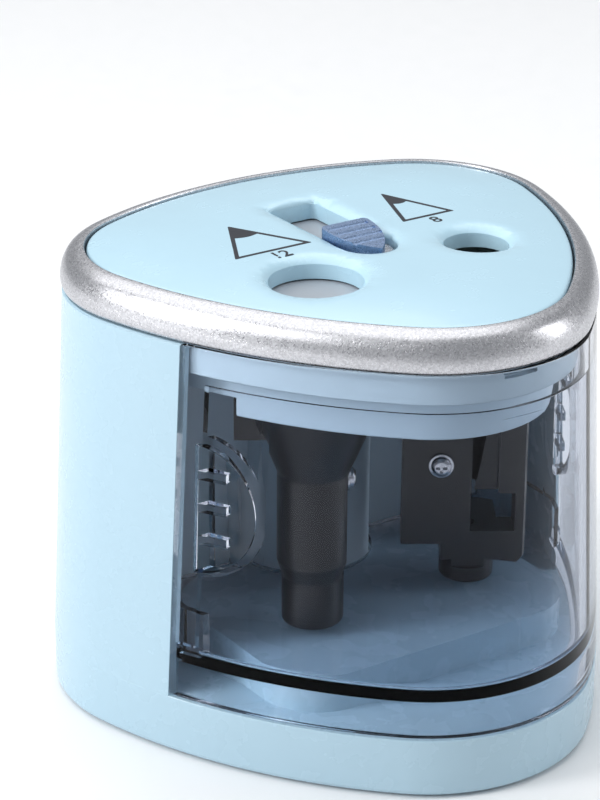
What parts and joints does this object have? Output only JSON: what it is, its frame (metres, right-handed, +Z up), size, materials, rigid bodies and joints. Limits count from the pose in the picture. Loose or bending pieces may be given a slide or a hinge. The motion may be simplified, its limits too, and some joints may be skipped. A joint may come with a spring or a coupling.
{
  "type": "battery pencil sharpener",
  "caption": "Upright battery pencil sharpener, rounded triangular in plan, with pencil holes in its top, a sliding hole selector and a clear pull-out bin in front of the cutters.",
  "frame": {"origin": "centre of the footprint, on the surface that the feet stand on", "axes": "+X to the right seen from the front, +Y to the back, +Z up"},
  "size_m": [0.1018, 0.0976, 0.0853],
  "materials": {
    "blue_plastic": "gloss moulded light blue",
    "panel_plastic": "gloss moulded pale blue",
    "bezel_silver": "satin silver with a fine sparkle grain",
    "knob_satin": "satin metallic grey-blue",
    "shutter_grey": "satin grey",
    "smoky_clear": "clear smoky plastic, glossy",
    "black_plastic": "satin black",
    "blade_steel": "ground steel",
    "white_plastic": "natural satin",
    "steel": "plated",
    "brass": "stamped",
    "cell_wrap": "plain printed wrap",
    "foot_rubber": "matte"
  },
  "bodies": {
    "housing": {"body_housing": "blue_plastic", "bottom_cover": "blue_plastic", "rubber_foot_1": "foot_rubber", "rubber_foot_2": "foot_rubber", "rubber_foot_3": "foot_rubber", "rubber_foot_4": "foot_rubber", "bottom_screw_1": "steel", "bottom_screw_2": "steel", "bottom_screw_3": "steel", "bottom_screw_4": "steel", "inner_partition": "blue_plastic", "head_case": "blue_plastic", "gear_cover": "white_plastic", "gear_cover_screw_1": "steel", "gear_cover_screw_2": "steel", "gear_cover_screw_3": "steel", "bezel_ring": "bezel_silver", "top_panel": "panel_plastic", "reduction_axle": "steel", "motor_can": "steel", "motor_end_cap": "white_plastic", "battery_cell_1": "cell_wrap", "battery_cell_2": "cell_wrap", "battery_cell_3": "cell_wrap", "battery_cell_4": "cell_wrap", "battery_cradle": "blue_plastic", "contact_bottom_left": "brass", "contact_bottom_right": "brass", "contact_top_middle": "brass", "contact_top_positive": "brass", "contact_top_negative": "brass", "start_switch": "black_plastic", "start_spring": "steel"},
    "bin": {"shavings_bin": "smoky_clear"},
    "selector": {"selector_knob": "knob_satin", "hole_shutter": "shutter_grey"},
    "large_cutter": {"cutter_holder_large": "black_plastic", "blade_large": "blade_steel", "blade_screw_large": "blade_steel", "cutter_gear_large": "white_plastic"},
    "small_cutter": {"cutter_holder_small": "black_plastic", "blade_small": "blade_steel", "blade_screw_small": "blade_steel", "cutter_gear_small": "white_plastic"},
    "reduction": {"reduction_gear": "white_plastic"},
    "rotor": {"motor_rotor": "steel", "motor_pinion": "brass"},
    "door": {"battery_door": "blue_plastic"},
    "starter": {"start_slider": "white_plastic"}
  },
  "joints": [
    {"name": "bin_slide", "type": "slide", "parent": "housing", "child": "bin", "axis": [0, -1, 0], "range_m": [0, 0.06]},
    {"name": "selector_slide", "type": "slide", "parent": "housing", "child": "selector", "axis": [0, 1, 0], "range_m": [0, 0.0159]},
    {"name": "large_cutter_spin", "type": "hinge", "parent": "housing", "child": "large_cutter", "pos_m": [-0.0168, -0.0092, 0.045], "axis": [0, 0, 1], "continuous": true},
    {"name": "small_cutter_spin", "type": "hinge", "parent": "housing", "child": "small_cutter", "pos_m": [0.0168, -0.0092, 0.045], "axis": [0, 0, 1], "continuous": true},
    {"name": "reduction_spin", "type": "hinge", "parent": "housing", "child": "reduction", "pos_m": [0, 0.00398, 0.071], "axis": [0, 0, 1], "continuous": true},
    {"name": "motor_spin", "type": "hinge", "parent": "housing", "child": "rotor", "pos_m": [0, 0.01847, 0.055], "axis": [0, 0, 1], "continuous": true},
    {"name": "door_slide", "type": "slide", "parent": "housing", "child": "door", "axis": [0, 1, 0], "range_m": [0, 0.03]},
    {"name": "start_slide", "type": "slide", "parent": "housing", "child": "starter", "axis": [0, 1, 0], "range_m": [0, 0.002], "stiffness_N_per_m": 150, "deforming": ["start_spring"]}
  ],
  "couplings": [
    {"joint": "small_cutter_spin", "follows": "large_cutter_spin", "ratio": 1},
    {"joint": "reduction_spin", "follows": "large_cutter_spin", "ratio": -2.3889},
    {"joint": "motor_spin", "follows": "large_cutter_spin", "ratio": 11.467}
  ]
}
